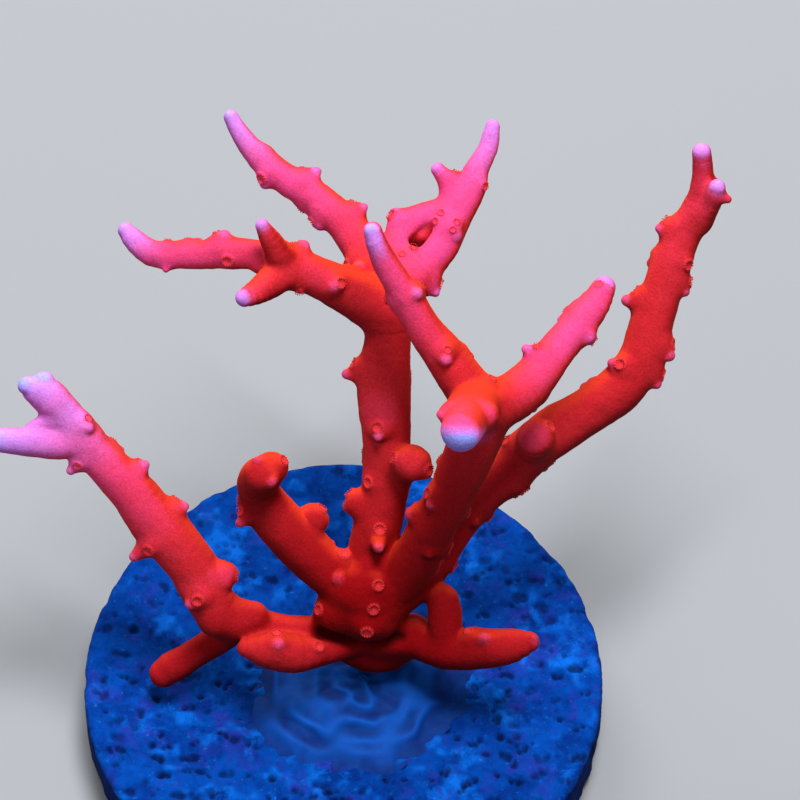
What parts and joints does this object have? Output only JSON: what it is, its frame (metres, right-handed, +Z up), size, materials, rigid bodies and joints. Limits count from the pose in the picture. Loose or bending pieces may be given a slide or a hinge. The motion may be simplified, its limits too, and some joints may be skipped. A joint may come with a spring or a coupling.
{
  "type": "branching coral frag",
  "caption": "Branching Anacropora coral frag with thin tapering branches and pale growing tips, glued upright on a round ceramic disc.",
  "frame": {"origin": "centre of the disc's flat underside", "axes": "+Z up; +X to the right and +Y away from the side that the colony turns to the viewer"},
  "size_m": [0.0424, 0.0386, 0.0319],
  "materials": {
    "disc": "porous blue-lit ceramic, matt, pitted on top",
    "glue": "set gel glue, smooth and wavy, satin",
    "coral_red": "living coral skin over stony skeleton, fine velvety grain, deep red",
    "coral_pink": "living coral skin over stony skeleton, fine velvety grain, red to hot pink",
    "coral_tip": "new growth at the tips, smooth, pale pink to lavender"
  },
  "bodies": {
    "root": {"frag_disc": "disc", "glue_pad": "glue", "trunk": "coral_red", "middle_stem": "coral_red", "left_stub": "coral_red", "front_stem": "coral_red", "right_branch": "coral_red", "crown_left_branch": "coral_pink", "crown_back_left_branch": "coral_pink", "crown_back_right_branch": "coral_pink", "front_stub": "coral_tip", "front_left_branch": "coral_pink", "front_right_branch": "coral_pink", "left_runner": "coral_red", "left_branch": "coral_pink", "left_outer_tip": "coral_tip", "front_finger": "coral_red", "low_left_finger": "coral_red", "right_finger": "coral_red", "right_finger_stub": "coral_red"}
  },
  "joints": []
}
